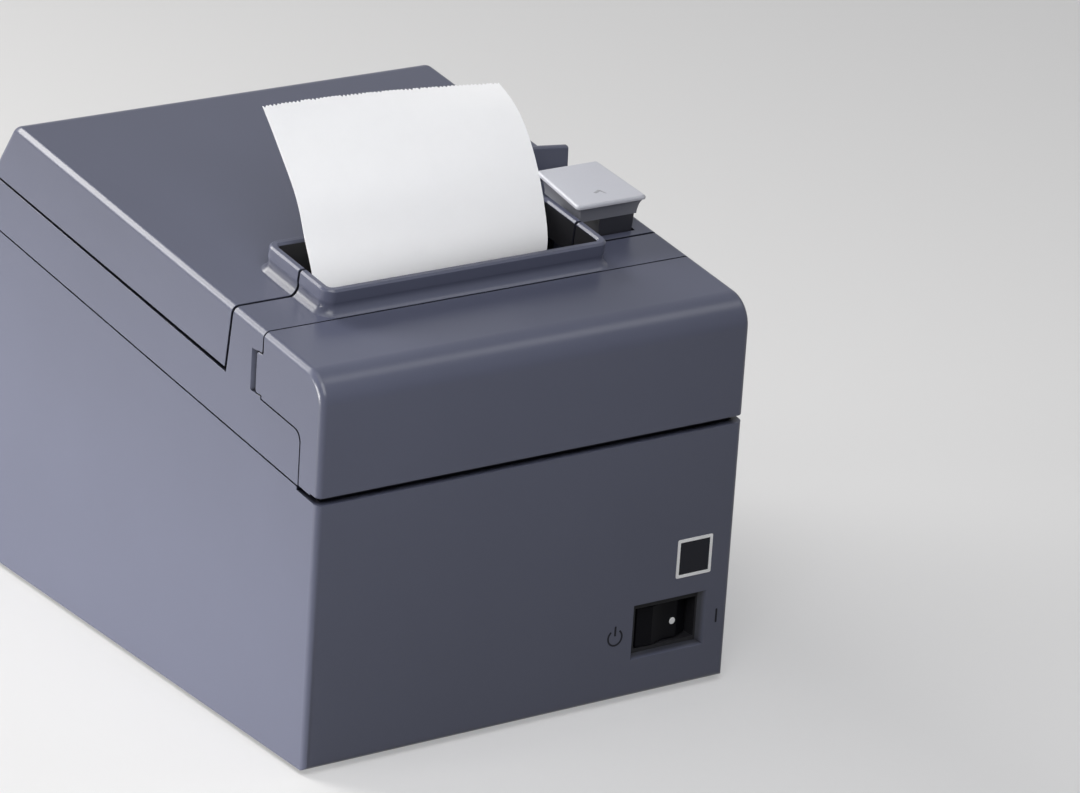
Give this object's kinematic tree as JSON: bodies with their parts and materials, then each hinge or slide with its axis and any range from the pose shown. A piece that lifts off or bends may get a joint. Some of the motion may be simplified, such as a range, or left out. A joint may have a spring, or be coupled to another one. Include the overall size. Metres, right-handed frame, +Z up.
{
  "type": "receipt printer",
  "caption": "Desktop thermal receipt printer with a drop-in paper roll under a hinged cover, a sliding front cover over the cutter, a cover lever and a rocker power switch.",
  "frame": {"origin": "middle of the footprint, on the surface the feet stand on", "axes": "+Z up, -Y towards the front with the power switch, +X to the right seen from the front"},
  "size_m": [0.1484, 0.195, 0.1744],
  "materials": {
    "case_plastic": "fine moulded texture",
    "lever_plastic": "fine moulded texture",
    "inner_plastic": "satin",
    "switch_plastic": "semi-gloss",
    "gear_plastic": "satin",
    "board": "satin",
    "chip": "satin",
    "steel": "brushed",
    "aluminium": "extruded",
    "ceramic": "glazed",
    "rubber": "matt",
    "foot_rubber": "matt",
    "paper": "uncoated back, coated face",
    "core_card": "raw board"
  },
  "bodies": {
    "base": {"lower_case": "case_plastic", "upper_case": "case_plastic", "bottom_plate": "steel", "bottom_screws": "steel", "rubber_feet": "foot_rubber", "roll_bucket": "inner_plastic", "hinge_pins": "steel", "mech_frame": "steel", "idler_stud": "steel", "feed_motor": "steel", "head_heatsink": "aluminium", "head_ceramic": "ceramic", "head_bracket": "steel", "head_springs": "steel", "cutter_guide": "steel", "cutter_motor": "steel", "paper_web": "paper", "main_board": "board", "board_parts": "chip", "connector_panel": "steel", "power_inlet": "inner_plastic", "drawer_socket": "inner_plastic", "usb_socket": "inner_plastic", "switch_housing": "switch_plastic"},
    "cover": {"roll_cover": "case_plastic", "platen_holder": "inner_plastic", "platen_bushes": "inner_plastic", "fixed_blade": "steel", "lever_pin": "steel", "receipt": "paper"},
    "lever": {"cover_lever": "lever_plastic"},
    "front_cover": {"cutter_cover": "case_plastic"},
    "platen": {"platen_shaft": "steel", "platen_rubber": "rubber", "platen_gear": "gear_plastic"},
    "idler": {"idler_gear": "gear_plastic"},
    "feed_rotor": {"motor_pinion": "gear_plastic"},
    "roll": {"paper_roll": "paper", "roll_core": "core_card"},
    "blade": {"moving_blade": "steel"},
    "blade_drive": {"cutter_shaft": "steel"},
    "cutter_rotor": {"cutter_pinion": "gear_plastic"},
    "rocker": {"switch_rocker": "switch_plastic"}
  },
  "joints": [
    {"name": "cover_hinge", "type": "hinge", "parent": "base", "child": "cover", "pos_m": [0, 0.092, 0.10701], "axis": [-1, 0, 0], "range_deg": [0, 95]},
    {"name": "lever_tilt", "type": "hinge", "parent": "cover", "child": "lever", "pos_m": [0, -0.03459, 0.11731], "axis": [-1, 0, 0], "range_deg": [0, 18], "stiffness_Nm_per_rad": 0.08, "springref_deg": -6.88},
    {"name": "front_cover_slide", "type": "slide", "parent": "base", "child": "front_cover", "axis": [0, -1, 0], "range_m": [0, 0.018]},
    {"name": "rocker_tilt", "type": "hinge", "parent": "base", "child": "rocker", "pos_m": [0.05225, -0.0922, 0.02215], "axis": [0, 0, -1], "range_deg": [0, 18]},
    {"name": "roll_spin", "type": "hinge", "parent": "base", "child": "roll", "pos_m": [0, -0.01253, 0.0713], "axis": [-1, 0, 0], "continuous": true},
    {"name": "platen_spin", "type": "hinge", "parent": "cover", "child": "platen", "pos_m": [0, -0.0438, 0.09995], "axis": [-1, 0, 0], "continuous": true},
    {"name": "idler_spin", "type": "hinge", "parent": "base", "child": "idler", "pos_m": [0, -0.04087, 0.07775], "axis": [-1, 0, 0], "continuous": true},
    {"name": "feed_motor_spin", "type": "hinge", "parent": "base", "child": "feed_rotor", "pos_m": [0, -0.06096, 0.06982], "axis": [-1, 0, 0], "continuous": true},
    {"name": "blade_slide", "type": "slide", "parent": "base", "child": "blade", "axis": [0, 0.9914, 0.1309], "range_m": [0, 0.008]},
    {"name": "blade_drive_spin", "type": "hinge", "parent": "base", "child": "blade_drive", "pos_m": [0, -0.07719, 0.09999], "axis": [-1, 0, 0], "range_deg": [0, 83]},
    {"name": "cutter_motor_spin", "type": "hinge", "parent": "base", "child": "cutter_rotor", "pos_m": [0, -0.0752, 0.08492], "axis": [-1, 0, 0], "range_deg": [-142, 0]}
  ],
  "couplings": [
    {"joint": "platen_spin", "follows": "roll_spin", "ratio": 5.2308},
    {"joint": "idler_spin", "follows": "roll_spin", "ratio": -2.0923},
    {"joint": "feed_motor_spin", "follows": "roll_spin", "ratio": 5.978},
    {"joint": "blade_drive_spin", "follows": "blade_slide", "rad_per_m": 178.57},
    {"joint": "cutter_motor_spin", "follows": "blade_slide", "rad_per_m": -306.12}
  ]
}
